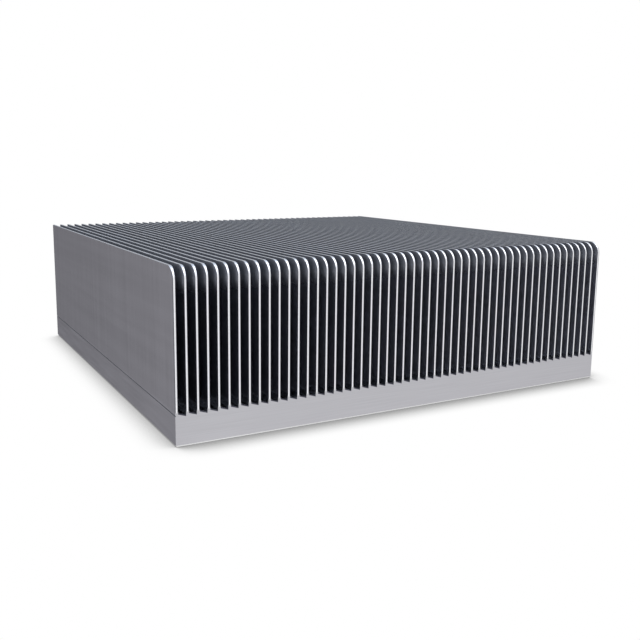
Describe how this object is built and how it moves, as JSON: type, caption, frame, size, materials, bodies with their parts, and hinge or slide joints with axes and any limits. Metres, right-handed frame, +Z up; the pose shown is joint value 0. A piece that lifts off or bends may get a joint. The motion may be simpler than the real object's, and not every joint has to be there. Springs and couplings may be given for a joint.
{
  "type": "skived fin heat sink",
  "caption": "Square bare aluminium heat sink: a flat base plate with a close row of thin upright fins pared from the same block, each rounded at its front top corner.",
  "frame": {"origin": "centre of the seat, the flat underside of the base plate", "axes": "+Z up from the seat along the height of the fins, -Y towards the end where the fins have rounded top corners, +X across the row of fins"},
  "size_m": [0.205, 0.205, 0.064],
  "materials": {
    "bare_aluminium": "bare machined metal with a fine satin grain"
  },
  "bodies": {
    "root": {"heat_sink": "bare_aluminium"}
  },
  "joints": []
}
